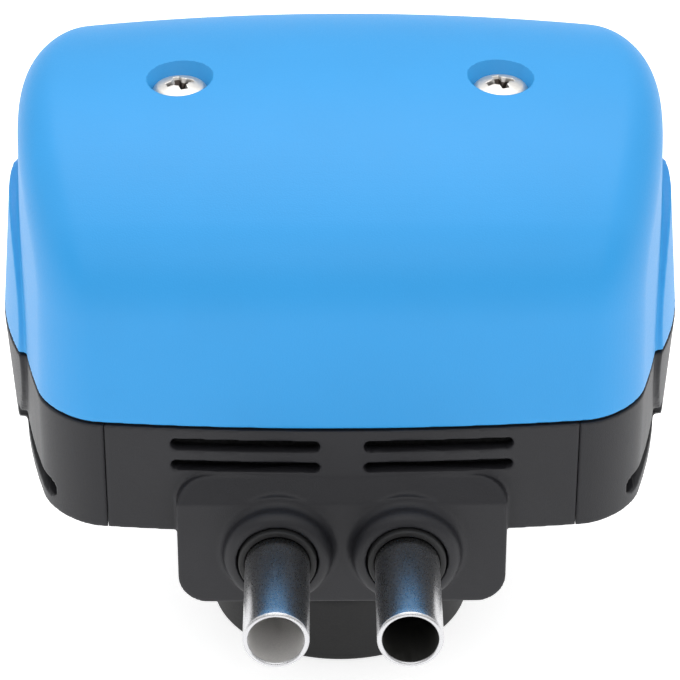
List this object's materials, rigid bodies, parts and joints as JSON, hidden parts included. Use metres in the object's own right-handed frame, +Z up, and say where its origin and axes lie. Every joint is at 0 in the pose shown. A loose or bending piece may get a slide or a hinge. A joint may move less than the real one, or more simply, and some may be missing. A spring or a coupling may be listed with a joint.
{
  "type": "pneumatic pulsator",
  "caption": "Pneumatic pulsator for milking: domed blue cover on a black valve housing, steel pulse nipples in front, rubber vacuum foot below.",
  "frame": {"origin": "centre of the vacuum socket's mouth in the rubber foot's bottom face", "axes": "+Z up along the vacuum socket, -Y the way the pulse nipples point, X along the shuttle"},
  "size_m": [0.0994, 0.1093, 0.0926],
  "materials": {
    "blue_shell": "fine moulded texture, satin matte",
    "black_shell": "fine moulded texture, satin",
    "black_rubber": "moulded rubber, satin matte",
    "stainless": "bright drawn and polished stainless steel",
    "screw_steel": "bright stainless fastener",
    "brass": "turned brass",
    "white_resin": "machined acetal",
    "filter_foam": "open-cell foam"
  },
  "bodies": {
    "housing": {"top_cover": "blue_shell", "cover_gasket": "black_rubber", "cover_screws": "screw_steel", "cover_inserts": "brass", "center_body": "black_shell", "end_cover_left": "black_shell", "end_cover_right": "black_shell", "end_cover_screws": "screw_steel", "diaphragm_left": "black_rubber", "diaphragm_right": "black_rubber", "shaft_bush_left": "white_resin", "shaft_bush_right": "white_resin", "port_plate": "stainless", "pilot_plate": "stainless", "port_gasket": "black_rubber", "port_plate_screws": "screw_steel", "rocker_pin": "stainless", "pulse_nipple_left": "stainless", "pulse_nipple_right": "stainless", "nipple_bush_left": "black_rubber", "nipple_bush_right": "black_rubber", "air_filter_left": "filter_foam", "air_filter_right": "filter_foam", "rate_bushing": "brass", "vacuum_stem": "black_shell", "stem_nut": "brass", "stem_seal": "black_rubber", "vacuum_foot": "black_rubber"},
    "shuttle": {"shuttle_shaft": "stainless", "inner_plate_left": "stainless", "inner_plate_right": "stainless", "outer_plate_left": "stainless", "outer_plate_right": "stainless", "shaft_nut_left": "screw_steel", "shaft_nut_right": "screw_steel", "slide_yoke": "white_resin", "main_slide": "white_resin", "slide_spring": "stainless"},
    "rocker": {"rocker_lever": "stainless"},
    "pilot": {"pilot_slide": "white_resin"},
    "rate_carrier": {"rate_seal": "black_rubber"},
    "rate_adjuster": {"rate_screw": "brass"}
  },
  "joints": [
    {"name": "shuttle_slide", "type": "slide", "parent": "housing", "child": "shuttle", "axis": [1, 0, 0], "range_m": [-0.003, 0.003], "deforming": ["diaphragm_left", "diaphragm_right"]},
    {"name": "rocker_turn", "type": "hinge", "parent": "housing", "child": "rocker", "pos_m": [0, 0.015, 0.0605], "axis": [0, 0, 1], "range_deg": [-22, 22]},
    {"name": "pilot_slide", "type": "slide", "parent": "housing", "child": "pilot", "axis": [1, 0, 0], "range_m": [-0.0031, 0.0031]},
    {"name": "rate_travel", "type": "slide", "parent": "housing", "child": "rate_carrier", "axis": [0, 1, 0], "range_m": [-0.0012, 0.0016]},
    {"name": "rate_turn", "type": "hinge", "parent": "rate_carrier", "child": "rate_adjuster", "pos_m": [0.012, 0.042, 0.0455], "axis": [0, 1, 0], "range_deg": [-545, 725]}
  ],
  "couplings": [
    {"joint": "rocker_turn", "follows": "shuttle_slide", "rad_per_m": 126.84},
    {"joint": "pilot_slide", "follows": "shuttle_slide", "ratio": -1},
    {"joint": "rate_turn", "follows": "rate_travel", "rad_per_m": 7854}
  ]
}
